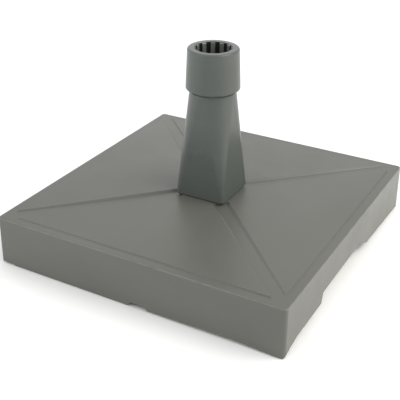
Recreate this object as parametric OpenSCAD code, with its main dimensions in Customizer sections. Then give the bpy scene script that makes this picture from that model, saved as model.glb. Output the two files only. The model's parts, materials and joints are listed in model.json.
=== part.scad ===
// Square parasol base: a plastic cover over a concrete block, a tapered tower with a steel
// pole tube inside it, and a screw collar that squeezes a slotted collet onto the pole.
// Millimetres, +Z up, origin on the floor under the middle of the base.

/* [Plate] */
// Side of the square cover across its top rim
plate_w = 450; // [430:1:480]
// Height of the top rim above the floor
rim_z = 74.5; // [70:0.5:85]
// Outward lean of each side from the rim down to the lower edge
side_lean = 1; // [0.5:0.5:2]
// Radius of the cover's upright corners
corner_r = 5.5; // [5:0.5:12]
// Wall thickness of the moulded plastic pieces
wall = 3.5; // [3:0.5:4]
// Height of the skirt's corners above the floor
skirt_gap = 1; // [0.5:0.5:1.5]

/* [Panels] */
// Width of the ledge between the rim and the raised panels
ledge_w = 14; // [8:1:20]
// Height of the step from the ledge up to the panels
panel_step = 1.4; // [0.8:0.1:2]
// Height of the panels above the rim where they meet the tower
panel_rise = 3.4; // [2.8:0.1:3.8]
// Width of the diagonal channels at the panels' surface
channel_w = 25; // [20:1:30]
// Depth of the channels beside the tower
channel_d = 3.2; // [2.4:0.1:3.4]

/* [Skirt edge] */
// Length of the hand recess in the two side skirts
grip_w = 146; // [130:2:160]
// Distance of the hand recess from the middle of its side
grip_shift = 30; // [20:1:35]
// Height of the hand recess above the floor
grip_z = 27; // [22:1:30]
// Height of the side skirt's lower edge next to the hand recess
side_edge_z = 12; // [8:0.5:16]
// Length of the notch in the front and back skirts
notch_w = 24; // [16:1:30]
// Height of the notch above the floor
notch_z = 7; // [4:0.5:8]

/* [Tower] */
// Side of the tower's square foot
foot_w = 79.8; // [76:0.2:82]
// Radius of the tower's round top
tower_r = 33.5; // [33.2:0.1:33.6]
// Height of the tower's shoulder above the floor
shoulder_z = 235.5; // [228:0.5:240]
// Inner radius of the steel pole tube
tube_r = 24.5; // [24:0.1:24.6]
// Wall thickness of the steel pole tube
tube_wall = 2.2; // [1.5:0.1:2.2]

/* [Clamp] */
// Height of the screw collar
ring_h = 59; // [58:0.5:62]
// Outer radius of the collar at its lower edge
ring_r = 39.1; // [38:0.1:39.5]
// Outer radius of the collar near its top
ring_top_r = 36.8; // [36:0.1:37.4]
// Radius of the hole in the collar's top
mouth_r = 27.1; // [27:0.1:27.3]
// Number of ribs inside the collet
rib_count = 12; // [8:2:16]
// Rise of the collar's thread in one turn
pitch = 6; // [5.6:0.1:6.4]

/* [Hidden] */
$fn = 96;
eps = 0.05;
// Longer than any wall that a hole goes through
through = 60;
half = plate_w / 2;
cover_c = [0.50, 0.50, 0.47];
tower_c = [0.40, 0.42, 0.40];
dark_c = [0.14, 0.14, 0.14];
steel_c = [0.66, 0.67, 0.68];
rubber_c = [0.07, 0.07, 0.07];
concrete_c = [0.62, 0.61, 0.58];
nylon_c = [0.82, 0.81, 0.76];

// Plate
rim_r = 2;
skirt_half = half + side_lean;
skirt_over = 11;
cavity_half = half - wall;
cavity_z = rim_z - wall;
panel_half = half - ledge_w;
seat_half = foot_w / 2 + 2;
panel_z = rim_z + panel_step;
seat_z = rim_z + panel_rise;
channel_z = seat_z - channel_d;
channel_wall = 4.5;
channel_start = 47;

// Tray, ballast and fixings
tray_z = 14;
tray_t = 3;
block_z = tray_z + tray_t;
block_gap = 0.3;
block_hole_r = 27.4;
well_x = half - 34;
well_z = 46;
screw_off = half - 11.5;
screw_along = 121;
boss_r = 6;
tray_screw_r = 2;
tray_screw_l = 24;
pad_off = half - 37;
pad_r = 22;
pad_seat = 1;
flange_half = 68;
flange_z = 21;
flange_t = 5;
bolt_off = 52;
bolt_r = 4;
nut_z = rim_z - 18;
tower_screw_off = 26;
recess_half = 36.5;
recess_z = rim_z - 13;

// Tower
gasket_t = 1.8;
foot_z = seat_z + gasket_t;
foot_r = 6;
foot_half = foot_w / 2;
neck_r = 32.3;
ring_z = shoulder_z + 3.5;
neck_z = ring_z + 45;
seat_low_z = ring_z + 17;
bore_r = 27.4;
seat_top_r = 30.3;
thread_h = 1.4;
thread_z = ring_z + 9;
thread_turns = 2.75;
nut_turns = 2.25;
tube_top_z = ring_z + 11;
drain_r = 8;

// Clamp
ring_top_z = ring_z + ring_h;
lip_t = 3;
lip_z = ring_top_z - lip_t;
nut_r = neck_r + 2.3;
cap_r = 33;
washer_t = 0.9;
collet_top_z = lip_z - washer_t - 0.2;
collet_low_z = ring_z + 13;
flange_low_z = neck_z + 1.5;
collet_neck_r = mouth_r - 0.3;
collet_neck_z = ring_top_z - 0.6;
rib_root_r = 25.9;
rib_step = 360 / rib_count;
rib_angle = 0.5 * rib_step;

// ---- Shared shapes ----

module tube(r_out, r_in, h) {
  difference() {
    cylinder(r = r_out, h = h);
    translate([0, 0, -1]) cylinder(r = r_in, h = h + 2);
  }
}

module four_corners(off) {
  for (a = [0 : 90 : 270]) {
    rotate([0, 0, a]) translate([off, off, 0]) children();
  }
}

// Both members of a pair that match when the base is turned by half a turn.
module half_turn_pair() {
  for (a = [0, 180]) {
    rotate([0, 0, a]) children();
  }
}

module rounded_square(side_half, r) {
  square([2 * side_half, 2 * (side_half - r)], center = true);
  square([2 * (side_half - r), 2 * side_half], center = true);
  for (sx = [-1, 1]) {
    for (sy = [-1, 1]) {
      translate([sx * (side_half - r), sy * (side_half - r)]) circle(r = r, $fn = 48);
    }
  }
}

// Square frustum: half width low_half at the bottom and top_half at height h.
module low_pyramid(low_half, top_half, h) {
  rotate([0, 0, 45]) cylinder(r1 = low_half * sqrt(2), r2 = top_half * sqrt(2), h = h, $fn = 4);
}

// A screw ridge of trapezoid section, from base radius r0 to crest radius r1.
module helix_ridge(r0, r1, turns, base_w, crest_w) {
  turn_steps = 24;
  steps = ceil(turns * turn_steps);
  fade = 4;
  turn = 360 / turn_steps;
  sections = [for (i = [0 : steps])
    let (grow = 0.2 + 0.8 * min(1, i / fade, (steps - i) / fade), r = r0 + (r1 - r0) * grow)
    for (p = [[r0, -base_w / 2], [r, -crest_w / 2], [r, crest_w / 2], [r0, base_w / 2]])
      [p[0] * cos(turn * i), p[0] * sin(turn * i), p[1] + pitch * i / turn_steps]];
  outward = r1 > r0;
  sides = [for (i = [0 : steps - 1])
    for (k = [0 : 3])
      let (a = 4 * i + k, b = 4 * i + (k + 1) % 4)
        for (tri = [[a, b, b + 4], [a, b + 4, a + 4]])
          outward ? [tri[2], tri[1], tri[0]] : tri];
  last = 4 * steps;
  caps = [[0, 1, 2], [0, 2, 3], [last + 2, last + 1, last], [last + 3, last + 2, last]];
  ends = [for (tri = caps) outward ? [tri[2], tri[1], tri[0]] : tri];
  polyhedron(points = sections, faces = concat(sides, ends));
}

// ---- Plate ----

// One corner post of the cover: it leans outwards going down and rounds over at the rim.
module corner_post(sx, sy) {
  translate([sx * (half - corner_r), sy * (half - corner_r), 0]) {
    translate([0, 0, rim_z - rim_r]) cylinder(r = corner_r, h = eps, $fn = 48);
    translate([0, 0, rim_z - 0.5 * rim_r]) {
      cylinder(r1 = corner_r - 0.134 * rim_r, r2 = corner_r - 0.5 * rim_r, h = 0.366 * rim_r, $fn = 48);
    }
    translate([0, 0, rim_z - eps]) cylinder(r = corner_r - rim_r, h = eps, $fn = 48);
  }
  translate([sx * (skirt_half - corner_r), sy * (skirt_half - corner_r), skirt_gap]) {
    cylinder(r = corner_r, h = 1, $fn = 48);
  }
}

module cover_outside() {
  hull() {
    for (sx = [-1, 1]) {
      for (sy = [-1, 1]) {
        corner_post(sx, sy);
      }
    }
  }
}

// Cutter for the four channels: trapezoid bars lying on the diagonals.
module channel_cutter() {
  slope = channel_wall / panel_rise;
  below = 1;
  above = 6;
  low = channel_w / 2 - channel_wall - slope * below;
  top = channel_w / 2 + slope * (above - panel_rise);
  for (a = [45 : 90 : 315]) {
    rotate([0, 0, a]) translate([channel_start, 0, rim_z]) rotate([90, 0, 90]) {
      linear_extrude(height = plate_w) {
        polygon([[-low, -below], [low, -below], [top, above], [-top, above]]);
      }
    }
  }
}

module raised_panels() {
  base_z = rim_z - 1;
  difference() {
    union() {
      translate([0, 0, base_z]) low_pyramid(panel_half + 0.8, panel_half - 0.6, panel_z - base_z);
      translate([0, 0, panel_z - eps]) {
        low_pyramid(panel_half - 0.6, seat_half, seat_z - panel_z + eps);
      }
    }
    channel_cutter();
  }
  translate([0, 0, base_z]) low_pyramid(half - rim_r - 1, seat_half, channel_z - base_z);
}

// Cuts an outline, given along the side and upwards, out of the +X skirt.
module skirt_cutter(outline) {
  depth = 9;
  translate([half - depth, 0, 0]) rotate([90, 0, 90]) {
    linear_extrude(height = depth + skirt_over) polygon(outline);
  }
}

// Lower edge of a side skirt: rises from the corners, with the hand recess between.
module side_edge_cutter() {
  grip_start = -grip_shift - grip_w / 2;
  grip_end = -grip_shift + grip_w / 2;
  out = half + skirt_over;
  lead = 4;
  slant = 29;
  skirt_cutter([
    [-out, -1], [-out, skirt_gap], [-half, skirt_gap], [-half + lead, skirt_gap + lead],
    [-half + 20, side_edge_z - 3], [-half + 38, side_edge_z], [grip_start - lead, side_edge_z],
    [grip_start, grip_z - 1], [grip_start + lead, grip_z], [grip_end, grip_z],
    [grip_end + slant, side_edge_z], [half - 9, skirt_gap + 3], [half - 3, skirt_gap],
    [out, skirt_gap], [out, -1]
  ]);
}

// Lower edge of the front or back skirt: a low corner relief, a small notch and a shallow rise.
module front_edge_cutter() {
  out = half + skirt_over;
  relief_w = 22;
  relief_z = 2.8;
  rotate([0, 0, -90]) skirt_cutter([
    [-out, -1], [-out, relief_z], [-half + relief_w, relief_z], [-half + relief_w + 2, skirt_gap],
    [-5, skirt_gap], [1, notch_z], [notch_w, notch_z], [notch_w + 2, skirt_gap + 1.2],
    [half - 70, skirt_gap + 4], [half - 9, skirt_gap], [out, skirt_gap], [out, -1]
  ]);
}

// A screw boss under the cover with a web out to the skirt.
module cover_boss() {
  height = cavity_z - block_z + 1;
  web_t = 3;
  difference() {
    union() {
      cylinder(r = boss_r, h = height);
      translate([0, -web_t / 2, 0]) cube([half - wall - screw_off + 5, web_t, height]);
    }
    translate([0, 0, -1]) cylinder(r = tray_screw_r + 0.05, h = tray_screw_l, $fn = 48);
  }
}

module boss_places() {
  for (a = [0 : 90 : 270]) {
    for (s = [-1, 1]) {
      rotate([0, 0, a]) translate([screw_off - 2, s * screw_along, 0]) children();
    }
  }
}

module cover_shell() {
  color(cover_c) difference() {
    union() {
      difference() {
        union() {
          cover_outside();
          raised_panels();
        }
        translate([0, 0, -1]) linear_extrude(height = cavity_z + 1) {
          rounded_square(cavity_half, corner_r - wall);
        }
      }
      translate([0, 0, block_z]) boss_places() cover_boss();
    }
    translate([0, 0, cavity_z - 1]) cylinder(r = block_hole_r, h = 12);
    translate([0, 0, cavity_z - 1]) four_corners(tower_screw_off) cylinder(r = 3.3, h = 12, $fn = 48);
    half_turn_pair() side_edge_cutter();
    half_turn_pair() front_edge_cutter();
  }
}

// Space for the fingers behind each hand recess.
module finger_well(top_z) {
  translate([well_x, -grip_shift - grip_w / 2 + 2, -1]) cube([60, grip_w + 20, top_z + 1]);
}

module ballast_block() {
  color(concrete_c) difference() {
    translate([0, 0, block_z]) linear_extrude(height = cavity_z - block_z) {
      rounded_square(cavity_half - block_gap, corner_r - wall);
    }
    cylinder(r = block_hole_r, h = rim_z);
    translate([0, 0, block_z - 1 + (flange_z + flange_t - block_z + 1) / 2]) {
      cube([2 * flange_half + 3, 2 * flange_half + 3, flange_z + flange_t - block_z + 1], center = true);
    }
    translate([0, 0, flange_z]) cylinder(r = block_hole_r + 6, h = flange_t + 6);
    four_corners(bolt_off) cylinder(r = bolt_r + 0.6, h = rim_z);
    translate([0, 0, nut_z]) four_corners(bolt_off) cylinder(r = 12.5, h = 30);
    translate([-recess_half, -recess_half, recess_z]) cube([2 * recess_half, 2 * recess_half, 20]);
    boss_places() {
      cylinder(r = boss_r + block_gap, h = rim_z);
      translate([0, -boss_r - block_gap, 0]) cube([20, 2 * (boss_r + block_gap), rim_z]);
    }
    half_turn_pair() finger_well(well_z);
  }
}

module tray_outline() {
  difference() {
    rounded_square(cavity_half - 0.5, corner_r - wall);
    circle(r = drain_r, $fn = 48);
  }
}

module bottom_tray() {
  rib_t = 2.5;
  rib_h = 1.6;
  color(dark_c) difference() {
    union() {
      translate([0, 0, tray_z]) linear_extrude(height = tray_t) tray_outline();
      for (s = [-1, 1]) {
        for (off = [60, 140]) {
          translate([s * off - rib_t / 2, 24 - half, tray_z - rib_h]) cube([rib_t, plate_w - 48, rib_h + 1]);
          translate([24 - half, s * off - rib_t / 2, tray_z - rib_h]) cube([plate_w - 48, rib_t, rib_h + 1]);
        }
      }
      translate([0, 0, tray_z - rib_h]) tube(34, 31, rib_h + 1);
    }
    translate([0, 0, -1]) boss_places() cylinder(r = tray_screw_r + 0.6, h = 20, $fn = 48);
    four_corners(pad_off) cylinder(r = pad_r + 0.4, h = tray_z + pad_seat);
    half_turn_pair() finger_well(tray_z + 6);
  }
}

// Pan head screw with its head under z = 0 and its shank up.
module pan_screw(r, l, head_r, head_h) {
  root = 0.5;
  translate([0, 0, -root]) cylinder(r = r, h = l + root, $fn = 48);
  difference() {
    translate([0, 0, -head_h]) cylinder(r1 = head_r - 0.6, r2 = head_r, h = head_h, $fn = 48);
    translate([0, 0, -head_h - 1]) cylinder(r = head_r * 0.45, h = 2.4, $fn = 6);
  }
}

module tray_screws() {
  color(steel_c) translate([0, 0, tray_z]) boss_places() {
    pan_screw(tray_screw_r, tray_screw_l, 4.6, 2.6);
  }
}

// Rubber puck glued into a shallow seat of the tray.
module foot_pad(sx, sy) {
  edge = 1.2;
  color(rubber_c) translate([sx * pad_off, sy * pad_off, 0]) {
    cylinder(r1 = pad_r - 1, r2 = pad_r, h = edge);
    translate([0, 0, edge - eps]) cylinder(r = pad_r, h = tray_z + pad_seat - edge + eps);
  }
}

// ---- Tower ----

// Body between a rounded square foot and a round top.
module tower_body(foot_side_half, foot_corner_r, top_r, z0, z1) {
  corner = foot_side_half - foot_corner_r;
  hull() {
    for (sx = [-1, 1]) {
      for (sy = [-1, 1]) {
        translate([sx * corner, sy * corner, z0]) cylinder(r = foot_corner_r, h = 0.4, $fn = 48);
      }
    }
    translate([0, 0, z1 - 0.4]) cylinder(r = top_r, h = 0.4, $fn = 96);
  }
}

module tower_bosses() {
  boss_h = 34;
  intersection() {
    translate([0, 0, foot_z]) four_corners(tower_screw_off) {
      cylinder(r = 6.2, h = boss_h, $fn = 48);
      rotate([0, 0, 45]) translate([0, -1.5, 0]) cube([30, 3, boss_h]);
    }
    tower_body(foot_half - 1, foot_r, tower_r - 1, foot_z, shoulder_z);
  }
}

module tower_sleeve() {
  color(tower_c) difference() {
    union() {
      difference() {
        tower_body(foot_half, foot_r, tower_r, foot_z, shoulder_z);
        translate([0, 0, -0.5]) {
          tower_body(foot_half - wall, 2, tower_r - wall, foot_z, shoulder_z - wall);
        }
      }
      tower_bosses();
      translate([0, 0, shoulder_z - wall]) cylinder(r = neck_r - 0.4, h = wall);
      translate([0, 0, shoulder_z - eps]) cylinder(r = neck_r, h = neck_z - shoulder_z + eps);
      translate([0, 0, thread_z]) {
        helix_ridge(neck_r - 0.3, neck_r + thread_h, thread_turns, 3.9, 2.2);
      }
    }
    translate([0, 0, shoulder_z - wall - 1]) cylinder(r = bore_r, h = through);
    translate([0, 0, seat_low_z]) {
      cylinder(r1 = bore_r, r2 = seat_top_r, h = neck_z - seat_low_z);
    }
    translate([0, 0, neck_z - eps]) cylinder(r = seat_top_r, h = 2);
    translate([0, 0, foot_z - 1]) four_corners(tower_screw_off) cylinder(r = 2.55, h = 27, $fn = 48);
  }
}

module tower_gasket() {
  inner = 33.2;
  color(rubber_c) translate([0, 0, seat_z]) difference() {
    linear_extrude(height = gasket_t) rounded_square(foot_half - 1, foot_r - 1);
    translate([0, 0, -1]) linear_extrude(height = gasket_t + 2) rounded_square(inner, 1.5);
  }
}

module tower_washers() {
  color(steel_c) translate([0, 0, cavity_z - 1.5]) four_corners(tower_screw_off) tube(7, 3, 1.5);
}

module tower_screws() {
  color(steel_c) translate([0, 0, cavity_z - 1.5]) {
    four_corners(tower_screw_off) pan_screw(2.5, 30, 5, 3.4);
  }
}

module stem_tube() {
  color(steel_c) translate([0, 0, flange_z]) tube(tube_r + tube_wall, tube_r, tube_top_z - flange_z);
}

module stem_flange() {
  outer = tube_r + tube_wall;
  weld = 4;
  color(steel_c) difference() {
    union() {
      translate([0, 0, flange_z]) linear_extrude(height = flange_t) rounded_square(flange_half, 6);
      translate([0, 0, flange_z + flange_t - eps]) cylinder(r1 = outer + weld, r2 = outer + 0.3, h = weld);
    }
    cylinder(r = outer, h = through);
    four_corners(bolt_off) cylinder(r = bolt_r + 0.4, h = through, $fn = 48);
  }
}

module anchor_bolts() {
  head_h = 3.2;
  top_z = nut_z + 12;
  color(steel_c) four_corners(bolt_off) {
    translate([0, 0, flange_z - head_h]) cylinder(r1 = 6, r2 = 8.5, h = head_h, $fn = 48);
    translate([0, 0, flange_z - eps]) cylinder(r = bolt_r, h = top_z - flange_z - 1, $fn = 48);
    translate([0, 0, top_z - 1 - eps]) cylinder(r1 = bolt_r, r2 = bolt_r - 1, h = 1, $fn = 48);
  }
}

module anchor_washers() {
  color(steel_c) translate([0, 0, nut_z]) four_corners(bolt_off) tube(11, bolt_r + 0.3, 1.6);
}

module anchor_nuts() {
  color(steel_c) translate([0, 0, nut_z + 1.6]) four_corners(bolt_off) {
    difference() {
      cylinder(r = 7.5, h = 6.5, $fn = 6);
      translate([0, 0, -1]) cylinder(r = bolt_r, h = 9, $fn = 48);
    }
  }
}

// Disc under the tube's lower end, with a spigot in the tray's hole and grooves for water.
module pole_stop() {
  groove = 1.5;
  color(dark_c) difference() {
    union() {
      translate([0, 0, block_z]) cylinder(r = tube_r + tube_wall - 0.4, h = flange_z - block_z);
      translate([0, 0, tray_z]) cylinder(r = drain_r - 0.3, h = tray_t + eps, $fn = 48);
    }
    cylinder(r = drain_r - 3, h = through, $fn = 48);
    for (a = [0 : 60 : 300]) {
      rotate([0, 0, a]) translate([drain_r / 2, -1.5, flange_z - groove]) cube([tube_r, 3, 4]);
    }
  }
}

module tube_spacer() {
  height = 10;
  color(nylon_c) translate([0, 0, shoulder_z - wall - 0.5 - height]) {
    difference() {
      tube(tower_r - wall - 0.4, tube_r + tube_wall + 0.1, height);
      for (a = [0 : 60 : 300]) {
        rotate([0, 0, a]) translate([28.6, -3, -1]) cube([6, 6, height + 2]);
      }
    }
  }
}

// ---- Clamp ----

module clamp_collet() {
  slit_w = 2.4;
  slit_top_z = neck_z - 2;
  gap = 0.35;
  body_h = neck_z - seat_low_z;
  low_h = seat_low_z - collet_low_z;
  color(dark_c) difference() {
    union() {
      translate([0, 0, collet_low_z]) difference() {
        union() {
          cylinder(r = bore_r - gap, h = low_h + eps);
          translate([0, 0, low_h]) cylinder(r1 = bore_r - gap, r2 = seat_top_r - gap, h = body_h);
          translate([0, 0, low_h + body_h - eps]) cylinder(r = seat_top_r - gap, h = 3);
          translate([0, 0, flange_low_z - collet_low_z]) {
            cylinder(r = 32.2, h = collet_top_z - flange_low_z);
          }
          translate([0, 0, flange_low_z - collet_low_z]) {
            cylinder(r = collet_neck_r, h = collet_neck_z - flange_low_z);
          }
        }
        translate([0, 0, -1]) cylinder(r = rib_root_r, h = 80);
      }
      for (i = [0 : rib_count - 1]) {
        rotate([0, 0, rib_step * i]) collet_rib();
      }
    }
    for (i = [0 : 2 : rib_count - 1]) {
      rotate([0, 0, rib_step * (i + 0.5)]) {
        translate([20, -slit_w / 2, collet_low_z - 1]) cube([20, slit_w, slit_top_z - collet_low_z + 1]);
      }
    }
  }
}

// One gripping rib with a round inner face at the pole's radius.
module collet_rib() {
  root = rib_root_r + 0.2;
  side = 40 * tan(rib_angle / 2);
  height = collet_neck_z - collet_low_z;
  lead_in = 1.4;
  intersection() {
    translate([0, 0, collet_low_z]) difference() {
      tube(root, tube_r, height);
      translate([0, 0, height - lead_in]) cylinder(r1 = tube_r - 0.05, r2 = tube_r + 0.9, h = lead_in + eps);
    }
    translate([0, 0, collet_low_z]) linear_extrude(height = height) {
      polygon([[0, 0], [40, -side], [40, side]]);
    }
  }
}

module slip_washer() {
  color(nylon_c) translate([0, 0, collet_top_z + 0.1]) tube(32.4, 27.6, washer_t);
}

// Half section of the collar's solid, rounded at the top and chamfered at the bottom.
module ring_section() {
  fillet = 3;
  steps = 6;
  polygon(concat(
    [[0, 0], [ring_r - 1.2, 0], [ring_r, 1.2]],
    [for (i = [0 : steps]) let (a = 90 * i / steps)
      [ring_top_r - fillet + fillet * cos(a), ring_h - fillet + fillet * sin(a)]],
    [[0, ring_h]]
  ));
}

module clamp_ring() {
  nut_h = 29;
  thread_start = thread_z - pitch / 2 - ring_z;
  color(tower_c) translate([0, 0, ring_z]) {
    difference() {
      rotate_extrude() ring_section();
      translate([0, 0, -1]) cylinder(r = nut_r, h = nut_h + 1);
      translate([0, 0, -1]) cylinder(r1 = nut_r + 2, r2 = nut_r, h = 3);
      translate([0, 0, nut_h - eps]) cylinder(r1 = nut_r, r2 = cap_r, h = 2);
      translate([0, 0, nut_h]) cylinder(r = cap_r, h = ring_h - lip_t - nut_h);
      cylinder(r = mouth_r, h = ring_h + 1);
      translate([0, 0, ring_h - 0.5]) cylinder(r1 = mouth_r, r2 = mouth_r + 0.5, h = 0.5 + eps);
    }
    translate([0, 0, thread_start]) {
      helix_ridge(nut_r + 0.3, nut_r - 1.6, nut_turns, 3.5, 1.9);
    }
  }
}

cover_shell();
bottom_tray();
ballast_block();
tray_screws();
foot_pad(-1, -1);  // foot_pad_front_left
foot_pad(1, -1);  // foot_pad_front_right
foot_pad(-1, 1);  // foot_pad_back_left
foot_pad(1, 1);  // foot_pad_back_right
tower_sleeve();
tower_gasket();
tower_screws();
tower_washers();
stem_tube();
stem_flange();
anchor_bolts();
anchor_washers();
anchor_nuts();
pole_stop();
tube_spacer();
clamp_collet();
slip_washer();
clamp_ring();
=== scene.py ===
"""Looks of the parasol base: materials, rounded edges, floor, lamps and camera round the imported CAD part."""
import json
import math

import bpy
from mathutils import Matrix, Vector

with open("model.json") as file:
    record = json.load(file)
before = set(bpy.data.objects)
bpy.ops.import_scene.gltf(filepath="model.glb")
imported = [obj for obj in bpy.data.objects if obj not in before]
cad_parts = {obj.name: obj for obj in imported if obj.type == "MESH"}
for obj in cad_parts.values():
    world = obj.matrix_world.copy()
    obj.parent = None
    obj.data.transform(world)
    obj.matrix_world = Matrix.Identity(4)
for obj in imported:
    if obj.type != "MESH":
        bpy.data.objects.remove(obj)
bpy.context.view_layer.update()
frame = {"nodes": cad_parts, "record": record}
NODES = frame["nodes"]

MM = 0.001
# The middle of the plate's top, which the lamps are aimed at and the camera stands round.
TOP_CENTRE = Vector((0.0, 0.0, 75 * MM))


# ---- Node-tree helpers ----

# Sockets of the Mix node when it mixes colours.
MIX_FACTOR, MIX_A, MIX_B = 0, 6, 7
MIX_RESULT = 2

# How worn edges are found: the Bevel node's samples, and how alike the rounded and the true normal still are
# on an open face and on a full edge.
EDGE_SAMPLES = 6
OPEN_FACE_DOT = 0.995
EDGE_DOT = 0.86


class Tree:
    """A material's node tree with short calls for the nodes used here."""

    def __init__(self, name):
        self.material = bpy.data.materials.new(name)
        self.material.use_nodes = True
        self.nodes = self.material.node_tree.nodes
        self.links = self.material.node_tree.links
        self.shader = self.nodes["Principled BSDF"]
        self.coords = self.nodes.new("ShaderNodeTexCoord").outputs["Object"]

    def link(self, source, target):
        self.links.new(source, target)

    def stretched(self, scale):
        """The object's own coordinates, multiplied by scale along each axis."""
        mapping = self.nodes.new("ShaderNodeMapping")
        mapping.inputs["Scale"].default_value = scale
        self.link(self.coords, mapping.inputs["Vector"])
        return mapping.outputs["Vector"]

    def noise(self, scale, detail=3.0, roughness=0.5, distortion=0.0, vector=None):
        node = self.nodes.new("ShaderNodeTexNoise")
        node.inputs["Scale"].default_value = scale
        node.inputs["Detail"].default_value = detail
        node.inputs["Roughness"].default_value = roughness
        node.inputs["Distortion"].default_value = distortion
        self.link(vector or self.coords, node.inputs["Vector"])
        return node.outputs["Fac"]

    def cell_distance(self, scale, feature="F1"):
        node = self.nodes.new("ShaderNodeTexVoronoi")
        node.feature = feature
        node.inputs["Scale"].default_value = scale
        self.link(self.coords, node.inputs["Vector"])
        return node.outputs["Distance"]

    def between(self, value, low, high, to_low=0.0, to_high=1.0):
        """Turns low..high of a value into to_low..to_high, and stays at the nearer end outside of it."""
        node = self.nodes.new("ShaderNodeMapRange")
        node.inputs["From Min"].default_value = low
        node.inputs["From Max"].default_value = high
        node.inputs["To Min"].default_value = to_low
        node.inputs["To Max"].default_value = to_high
        self.link(value, node.inputs["Value"])
        return node.outputs["Result"]

    def math(self, operation, a, b=0.0):
        """A Math node of one or two operands, each a number or another node's output."""
        node = self.nodes.new("ShaderNodeMath")
        node.operation = operation
        for socket, value in zip(node.inputs, (a, b)):
            if isinstance(value, (int, float)):
                socket.default_value = value
            else:
                self.link(value, socket)
        return node.outputs["Value"]

    def mix(self, factor, a, b):
        """Colour a where the factor is 0 and colour b where it is 1."""
        node = self.nodes.new("ShaderNodeMix")
        node.data_type = "RGBA"
        for index, value in ((MIX_FACTOR, factor), (MIX_A, a), (MIX_B, b)):
            if isinstance(value, tuple):
                node.inputs[index].default_value = (*value, 1.0)
            else:
                self.link(value, node.inputs[index])
        return node.outputs[MIX_RESULT]

    def axis_distance(self):
        """Distance from the Z axis through the object's origin."""
        flat = self.nodes.new("ShaderNodeVectorMath")
        flat.operation = "MULTIPLY"
        flat.inputs[1].default_value = (1.0, 1.0, 0.0)
        self.link(self.coords, flat.inputs[0])
        length = self.nodes.new("ShaderNodeVectorMath")
        length.operation = "LENGTH"
        self.link(flat.outputs["Vector"], length.inputs[0])
        return length.outputs["Value"]

    def rim_band(self, reach, low, high, fade):
        """1 on the outer rim, farther than reach from the middle lines and between two heights."""
        axes = self.nodes.new("ShaderNodeSeparateXYZ")
        self.link(self.coords, axes.inputs["Vector"])
        x, y, z = (axes.outputs[axis] for axis in "XYZ")
        side = self.math("MAXIMUM", self.math("ABSOLUTE", x), self.math("ABSOLUTE", y))
        above = self.between(z, low - fade, low)
        below = self.between(z, high, high + fade, 1.0, 0.0)
        outside = self.between(side, reach, reach + fade)
        return self.math("MULTIPLY", outside, self.math("MULTIPLY", above, below))

    def edges(self, radius):
        """1 on convex and concave edges within radius, 0 on open faces."""
        bevel = self.nodes.new("ShaderNodeBevel")
        bevel.samples = EDGE_SAMPLES
        bevel.inputs["Radius"].default_value = radius
        geometry = self.nodes.new("ShaderNodeNewGeometry")
        dot = self.nodes.new("ShaderNodeVectorMath")
        dot.operation = "DOT_PRODUCT"
        self.link(bevel.outputs["Normal"], dot.inputs[0])
        self.link(geometry.outputs["Normal"], dot.inputs[1])
        return self.between(dot.outputs["Value"], OPEN_FACE_DOT, EDGE_DOT)

    def bump(self, height, strength, distance, normal=None):
        node = self.nodes.new("ShaderNodeBump")
        node.inputs["Strength"].default_value = strength
        node.inputs["Distance"].default_value = distance
        self.link(height, node.inputs["Height"])
        if normal is not None:
            self.link(normal, node.inputs["Normal"])
        return node.outputs["Normal"]

    def finish(self, colour, roughness, normal, **sockets):
        """Links the three that vary over the surface, and sets the rest on the shader's own sockets."""
        self.link(colour, self.shader.inputs["Base Color"])
        self.link(roughness, self.shader.inputs["Roughness"])
        self.link(normal, self.shader.inputs["Normal"])
        for name, value in sockets.items():
            self.shader.inputs[name.replace("_", " ")].default_value = value
        return self.material


# ---- Materials ----

# How much paler than the pale tone the edges of the moulded plastic are: partly wear, partly a painted
# highlight where edges catch the light.
WEAR_AND_HIGHLIGHT_EDGE = 1.55
# How wide the paler edges (wear and painted highlight) are, and over what width the painted light on the
# collet's rib faces and the painted highlight line on the rim fade out.
MOULDED_EDGE_REACH = 0.9 * MM
DULL_EDGE_REACH = 0.8 * MM
BORE_FADE = 0.6 * MM
RIM_FADE = 0.4 * MM
# Bump heights: the waves of a moulded face, fine grain, the zinc of the fixings and the concrete's sand.
WAVE_HEIGHT = 2.0 * MM
GRAIN_HEIGHT = 0.1 * MM
ZINC_HEIGHT = 0.05 * MM
SAND_HEIGHT = 0.5 * MM


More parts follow.
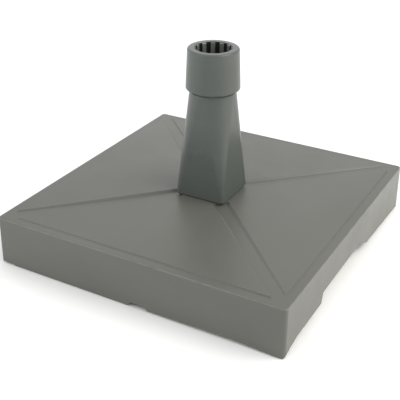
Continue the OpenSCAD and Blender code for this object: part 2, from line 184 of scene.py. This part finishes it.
def moulded_plastic(name, colour, deep, pale, rough, lit_rib_bore=None, rim_highlight=None):
    """Fine-grained moulded plastic: cloudy tone, speckle, flow streaks, scuffs, and paler edges that are
    partly wear and partly painted highlight.

    A bore given as a radius round the Z axis and a colour paints what lies inside it in that colour: painted
    light on the lit rib faces.
    A rim given as a distance from the middle lines and two heights paints the rim between them pale: a painted
    highlight line along the rounded rim.
    """
    tree = Tree(name)
    clouds = tree.noise(scale=9.0, detail=4.0, roughness=0.6)
    streaks = tree.noise(scale=5.0, distortion=0.6, vector=tree.stretched((1.0, 1.0, 6.0)))
    speckle = tree.noise(scale=1100.0, detail=2.0, roughness=0.6)
    blotch = tree.noise(scale=70.0, detail=6.0, roughness=0.65)
    scratches = tree.noise(
        scale=38.0, detail=5.0, roughness=0.7, distortion=1.5, vector=tree.stretched((1.0, 9.0, 3.0)))
    wear_and_highlight_tone = tuple(WEAR_AND_HIGHLIGHT_EDGE * channel for channel in pale)

    tone = tree.mix(tree.between(clouds, 0.32, 0.70), deep, colour)
    tone = tree.mix(tree.between(streaks, 0.45, 0.75, 0.0, 0.35), tone, pale)
    tone = tree.mix(tree.between(blotch, 0.50, 0.72, 0.0, 0.16), tone, deep)
    tone = tree.mix(tree.between(speckle, 0.35, 0.70, 0.0, 0.22), tone, pale)
    tone = tree.mix(tree.between(scratches, 0.66, 0.74, 0.0, 0.12), tone, pale)
    # Inside the radius the rib faces are painted paler: painted light on the lit ribs.
    if lit_rib_bore is not None:
        radius, lit_rib_colour = lit_rib_bore
        inside = tree.between(tree.axis_distance(), radius, radius + BORE_FADE, 1.0, 0.0)
        tone = tree.mix(inside, tone, lit_rib_colour)
    # Paler edges: partly wear, partly a painted highlight on the edges that catch the light.
    edge = tree.math("MULTIPLY", tree.edges(MOULDED_EDGE_REACH), tree.between(blotch, 0.30, 0.60, 0.4, 0.9))
    tone = tree.mix(edge, tone, wear_and_highlight_tone)
    # A thin pale band on the rim: a painted highlight line where the rounded rim catches the light.
    if rim_highlight is not None:
        band = tree.rim_band(*rim_highlight, fade=RIM_FADE)
        painted_rim_highlight = tree.math("MULTIPLY", band, tree.between(blotch, 0.35, 0.60, 0.2, 0.6))
        tone = tree.mix(painted_rim_highlight, tone, wear_and_highlight_tone)

    roughness = tree.between(clouds, 0.3, 0.7, rough - 0.05, rough + 0.07)
    roughness = tree.math("ADD", roughness, tree.between(scratches, 0.60, 0.75, 0.0, 0.04))
    leather = tree.cell_distance(scale=850.0, feature="SMOOTH_F1")
    grain = tree.math("ADD", leather, tree.math("MULTIPLY", speckle, 0.8))
    normal = tree.bump(tree.noise(scale=16.0, detail=2.0), 0.12, WAVE_HEIGHT)
    normal = tree.bump(grain, 0.35, GRAIN_HEIGHT, normal)
    return tree.finish(tone, roughness, normal, Specular_IOR_Level=0.5)


def dull_plastic(name, colour, pale, rough):
    """Plain plastic of the hidden pieces."""
    tree = Tree(name)
    clouds = tree.noise(scale=22.0, detail=5.0, roughness=0.6)
    fine = tree.noise(scale=700.0, roughness=0.6)
    tone = tree.mix(tree.between(clouds, 0.35, 0.7, 0.0, 0.6), colour, pale)
    tone = tree.mix(tree.math("MULTIPLY", tree.edges(DULL_EDGE_REACH), 0.5), tone, pale)
    roughness = tree.between(clouds, 0.3, 0.7, rough - 0.06, rough + 0.08)
    return tree.finish(tone, roughness, tree.bump(fine, 0.3, GRAIN_HEIGHT))


def concrete(name):
    """Cast concrete with sand, stones, stains and pores."""
    tree = Tree(name)
    sand = tree.noise(scale=420.0, detail=5.0, roughness=0.7)
    stains = tree.noise(scale=14.0, detail=5.0, roughness=0.6)
    stones = tree.cell_distance(scale=95.0)
    pores = tree.between(tree.cell_distance(scale=240.0), 0.0, 0.13, 1.0, 0.0)
    tone = tree.mix(tree.between(stains, 0.3, 0.7), (0.27, 0.26, 0.235), (0.43, 0.42, 0.385))
    tone = tree.mix(tree.between(stones, 0.0, 0.35, 0.35, 0.0), tone, (0.33, 0.31, 0.27))
    tone = tree.mix(tree.between(sand, 0.3, 0.75, 0.0, 0.4), tone, (0.52, 0.51, 0.47))
    tone = tree.mix(tree.math("MULTIPLY", pores, 0.7), tone, (0.10, 0.095, 0.085))
    roughness = tree.between(sand, 0.2, 0.8, 0.78, 0.95)
    return tree.finish(tone, roughness, tree.bump(tree.math("SUBTRACT", sand, pores), 0.6, SAND_HEIGHT))


def galvanised(name):
    """Hot-dip galvanised steel, with the spangle of its zinc."""
    tree = Tree(name)
    spangle = tree.cell_distance(scale=130.0)
    fine = tree.noise(scale=500.0, roughness=0.6)
    tone = tree.mix(spangle, (0.62, 0.64, 0.65), (0.40, 0.42, 0.43))
    tone = tree.mix(tree.between(fine, 0.5, 0.8, 0.0, 0.3), tone, (0.70, 0.71, 0.71))
    roughness = tree.between(spangle, 0.0, 0.6, 0.30, 0.52)
    return tree.finish(tone, roughness, tree.bump(fine, 0.15, GRAIN_HEIGHT), Metallic=1.0)


def zinc(name):
    """Bright zinc-plated steel of the fixings."""
    tree = Tree(name)
    fine = tree.noise(scale=260.0, detail=4.0, roughness=0.6)
    tone = tree.mix(tree.between(fine, 0.3, 0.7), (0.50, 0.50, 0.47), (0.68, 0.68, 0.65))
    roughness = tree.between(fine, 0.2, 0.8, 0.22, 0.38)
    return tree.finish(tone, roughness, tree.bump(fine, 0.1, ZINC_HEIGHT), Metallic=1.0)


def rubber(name):
    """Black rubber with a little dust on it."""
    tree = Tree(name)
    dust = tree.noise(scale=60.0, detail=5.0, roughness=0.65)
    fine = tree.noise(scale=900.0, roughness=0.6)
    tone = tree.mix(tree.between(dust, 0.45, 0.8, 0.0, 0.5), (0.012, 0.012, 0.012), (0.055, 0.053, 0.048))
    roughness = tree.between(dust, 0.3, 0.7, 0.72, 0.92)
    return tree.finish(tone, roughness, tree.bump(fine, 0.4, GRAIN_HEIGHT))


# The painted highlight line round the plate's rim: how far out it starts, and the heights it lies between.
RIM_REACH = 220 * MM
RIM_LOW, RIM_HIGH = 73.1 * MM, 74.0 * MM
# The collet's ribs reach inside this radius; their faces there are painted paler as painted light on the lit
# ribs, against the painted shade of the near-black slots between them.
RIB_FACE_RADIUS = 25 * MM

SLOT_MATERIALS = {
    "cover_plastic": moulded_plastic(
        "cover_plastic",
        colour=(0.100, 0.102, 0.089),
        deep=(0.093, 0.095, 0.083),
        pale=(0.121, 0.122, 0.107),
        rough=0.36,
        rim_highlight=(RIM_REACH, RIM_LOW, RIM_HIGH),
    ),
    "tower_plastic": moulded_plastic(
        "tower_plastic",
        colour=(0.072, 0.082, 0.073),
        deep=(0.064, 0.073, 0.066),
        pale=(0.096, 0.106, 0.097),
        rough=0.32,
    ),
    # The collet is painted near-black as painted shade of the deep slots between its ribs; its rib faces are
    # painted paler as painted light.
    "collet_plastic": moulded_plastic(
        "collet_plastic",
        colour=(0.014, 0.016, 0.014),
        deep=(0.011, 0.013, 0.011),
        pale=(0.022, 0.025, 0.022),
        rough=0.24,
        lit_rib_bore=(RIB_FACE_RADIUS, (0.125, 0.134, 0.125)),
    ),
    "tray_plastic": dull_plastic(
        "tray_plastic", colour=(0.030, 0.030, 0.030), pale=(0.060, 0.060, 0.058), rough=0.55),
    "nylon": dull_plastic("nylon", colour=(0.60, 0.59, 0.53), pale=(0.72, 0.71, 0.66), rough=0.40),
    "concrete": concrete("concrete"),
    "galvanised_steel": galvanised("galvanised_steel"),
    "zinc_steel": zinc("zinc_steel"),
    "pad_rubber": rubber("pad_rubber"),
}


# ---- Edges and finishes of the CAD nodes ----

# How wide each node's edges are rounded.
DEFAULT_BEVEL_MM = 0.25
BEVEL_MM = {
    "cover_shell": 0.9,
    "tower_sleeve": 0.35,
    "clamp_ring": 0.3,
    "bottom_tray": 0.5,
    "ballast_block": 1.5,
    "stem_flange": 0.5,
}
BEVEL_SEGMENTS = 3
# Edges sharper than this are rounded, and triangles that bend less than PLANAR_LIMIT are one flat face.
BEVEL_LIMIT = math.radians(32)
PLANAR_LIMIT = math.radians(0.1)
WELD_DISTANCE = 0.002 * MM
NORMAL_WEIGHT = 80

# Nodes with round or ring-shaped flat faces, which can fold over themselves when their triangles are merged.
FOOT_PADS = tuple(f"foot_pad_{end}_{side}" for end in ("front", "back") for side in ("left", "right"))
KEPT_TRIANGLES = ("clamp_ring", *FOOT_PADS)
# Rounding the collet's slotted edges leaves many faces without area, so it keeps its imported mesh.
SHARP_NODES = ("clamp_collet",)


def soften(node, width_mm, merge_flat):
    """Rounds the sharp edges, after merging the triangles of flat faces if merge_flat is set."""
    weld = node.modifiers.new("weld", "WELD")
    weld.merge_threshold = WELD_DISTANCE
    if merge_flat:
        flat = node.modifiers.new("flat", "DECIMATE")
        flat.decimate_type = "DISSOLVE"
        flat.angle_limit = PLANAR_LIMIT
    bevel = node.modifiers.new("bevel", "BEVEL")
    bevel.width = width_mm * MM
    bevel.segments = BEVEL_SEGMENTS
    bevel.limit_method = "ANGLE"
    bevel.angle_limit = BEVEL_LIMIT
    bevel.use_clamp_overlap = True
    bevel.miter_outer = "MITER_ARC"
    normals = node.modifiers.new("normals", "WEIGHTED_NORMAL")
    normals.keep_sharp = True
    normals.weight = NORMAL_WEIGHT


def dress(name, slot):
    """Gives a CAD node its material and rounds its edges."""
    node = NODES[name]
    node.data.materials.clear()
    node.data.materials.append(SLOT_MATERIALS[slot])
    rounded = name not in SHARP_NODES
    for polygon in node.data.polygons:
        polygon.material_index = 0
        polygon.use_smooth = rounded
    if rounded:
        soften(node, BEVEL_MM.get(name, DEFAULT_BEVEL_MM), name not in KEPT_TRIANGLES)


for entry in frame["record"]["subparts"]:
    dress(entry["node"], entry["material_slot"])


# ---- Floor and world ----

FLOOR_REACH = 12.0
WORLD_STRENGTH = 0.85


def floor_material():
    tree = Tree("floor_paint")
    haze = tree.noise(scale=3.0, detail=2.0)
    tone = tree.mix(haze, (0.90, 0.90, 0.90), (0.92, 0.92, 0.92))
    return tree.finish(tone, tree.between(haze, 0.3, 0.7, 0.6, 0.7), tree.bump(haze, 0.02, MM))


def add_floor():
    corners = [(x * FLOOR_REACH, y * FLOOR_REACH, 0.0) for x, y in ((-1, -1), (1, -1), (1, 1), (-1, 1))]
    mesh = bpy.data.meshes.new("floor")
    mesh.from_pydata(corners, [], [(0, 1, 2, 3)])
    mesh.materials.append(floor_material())
    floor = bpy.data.objects.new("floor", mesh)
    bpy.context.scene.collection.objects.link(floor)


def add_world():
    world = bpy.data.worlds.new("studio")
    world.use_nodes = True
    background = world.node_tree.nodes["Background"]
    background.inputs["Color"].default_value = (1.0, 1.0, 1.0, 1.0)
    background.inputs["Strength"].default_value = WORLD_STRENGTH
    bpy.context.scene.world = world
    bpy.context.scene.view_settings.view_transform = "Standard"


add_floor()
add_world()


# ---- Lamps ----

LAMP_DISTANCE = 2.4
LARGE_BOX = (1.8, 1.2)
SMALL_BOX = (0.6, 0.4)
WARM = (1.0, 0.98, 0.92)
COOL = (0.97, 0.99, 1.0)
WHITE = (1.0, 1.0, 1.0)


def direction(azimuth, elevation):
    """The way from the plate to azimuth and elevation in degrees. Azimuth 0 is -Y and 90 is +X."""
    azimuth, elevation = math.radians(azimuth), math.radians(elevation)
    level = math.cos(elevation)
    return Vector((math.sin(azimuth) * level, -math.cos(azimuth) * level, math.sin(elevation)))


def area_lamp(name, place, back, power, size, colour):
    """A rectangular lamp that shines away from the direction back."""
    light = bpy.data.lights.new(name, "AREA")
    light.color = colour
    light.shape = "RECTANGLE"
    light.size, light.size_y = size
    light.energy = power
    lamp = bpy.data.objects.new(name, light)
    lamp.location = place
    lamp.rotation_euler = back.to_track_quat("Z", "Y").to_euler()
    bpy.context.scene.collection.objects.link(lamp)


def softbox(name, azimuth, elevation, power, colour, size=LARGE_BOX):
    """A lamp that stands in a direction from the plate and is aimed at it."""
    way = direction(azimuth, elevation)
    area_lamp(name, TOP_CENTRE + way * LAMP_DISTANCE, way, power, size, colour)


softbox("key", azimuth=100, elevation=50, power=32.4, colour=WARM)
softbox("low_side", azimuth=100, elevation=12, power=9, colour=WARM)
softbox("low_front", azimuth=-45, elevation=12, power=11.5, colour=COOL)
softbox("low_left", azimuth=-90, elevation=12, power=8, colour=COOL)
softbox("back", azimuth=208, elevation=22, power=3, colour=WHITE)
# A small lamp that draws a thin light line on the front rim and on the collar's lip.
softbox("rim_line", azimuth=-20, elevation=46, power=4, colour=COOL, size=SMALL_BOX)
# The floor beside the +X skirt is lit from a hand's breadth above, and throws its light back on the skirt.
BOUNCE_PLACE = Vector((0.46, 0.05, 0.08))
BOUNCE_SIZE = (0.30, 0.60)
UPWARDS = Vector((0, 0, 1))
area_lamp("floor_bounce", BOUNCE_PLACE, back=UPWARDS, power=0.5, size=BOUNCE_SIZE, colour=WARM)


# ---- Camera ----

# Where the camera stands round the middle of the plate's top, and how it is turned from looking at it.
CAMERA_AZIMUTH, CAMERA_ELEVATION, CAMERA_DISTANCE = 28.36, 27.62, 1.2206
CAMERA_YAW, CAMERA_PITCH, CAMERA_ROLL = 0.934, 0.733, 0.277
LENS_MM = 72.4
SENSOR_MM = 36.0
CLIP_NEAR, CLIP_FAR = 0.05, 60.0


def add_camera():
    data = bpy.data.cameras.new("camera")
    data.lens = LENS_MM
    data.sensor_width = SENSOR_MM
    data.clip_start, data.clip_end = CLIP_NEAR, CLIP_FAR
    camera = bpy.data.objects.new("camera", data)
    bpy.context.scene.collection.objects.link(camera)
    azimuth = CAMERA_AZIMUTH + CAMERA_YAW
    back = direction(azimuth, CAMERA_ELEVATION + CAMERA_PITCH)
    right = Vector((math.cos(math.radians(azimuth)), math.sin(math.radians(azimuth)), 0.0))
    up = back.cross(right)
    roll = Matrix.Rotation(math.radians(CAMERA_ROLL), 3, back)
    rotation = Matrix((roll @ right, roll @ up, back)).transposed()
    place = TOP_CENTRE + direction(CAMERA_AZIMUTH, CAMERA_ELEVATION) * CAMERA_DISTANCE
    camera.matrix_world = Matrix.Translation(place) @ rotation.to_4x4()
    bpy.context.scene.camera = camera


add_camera()
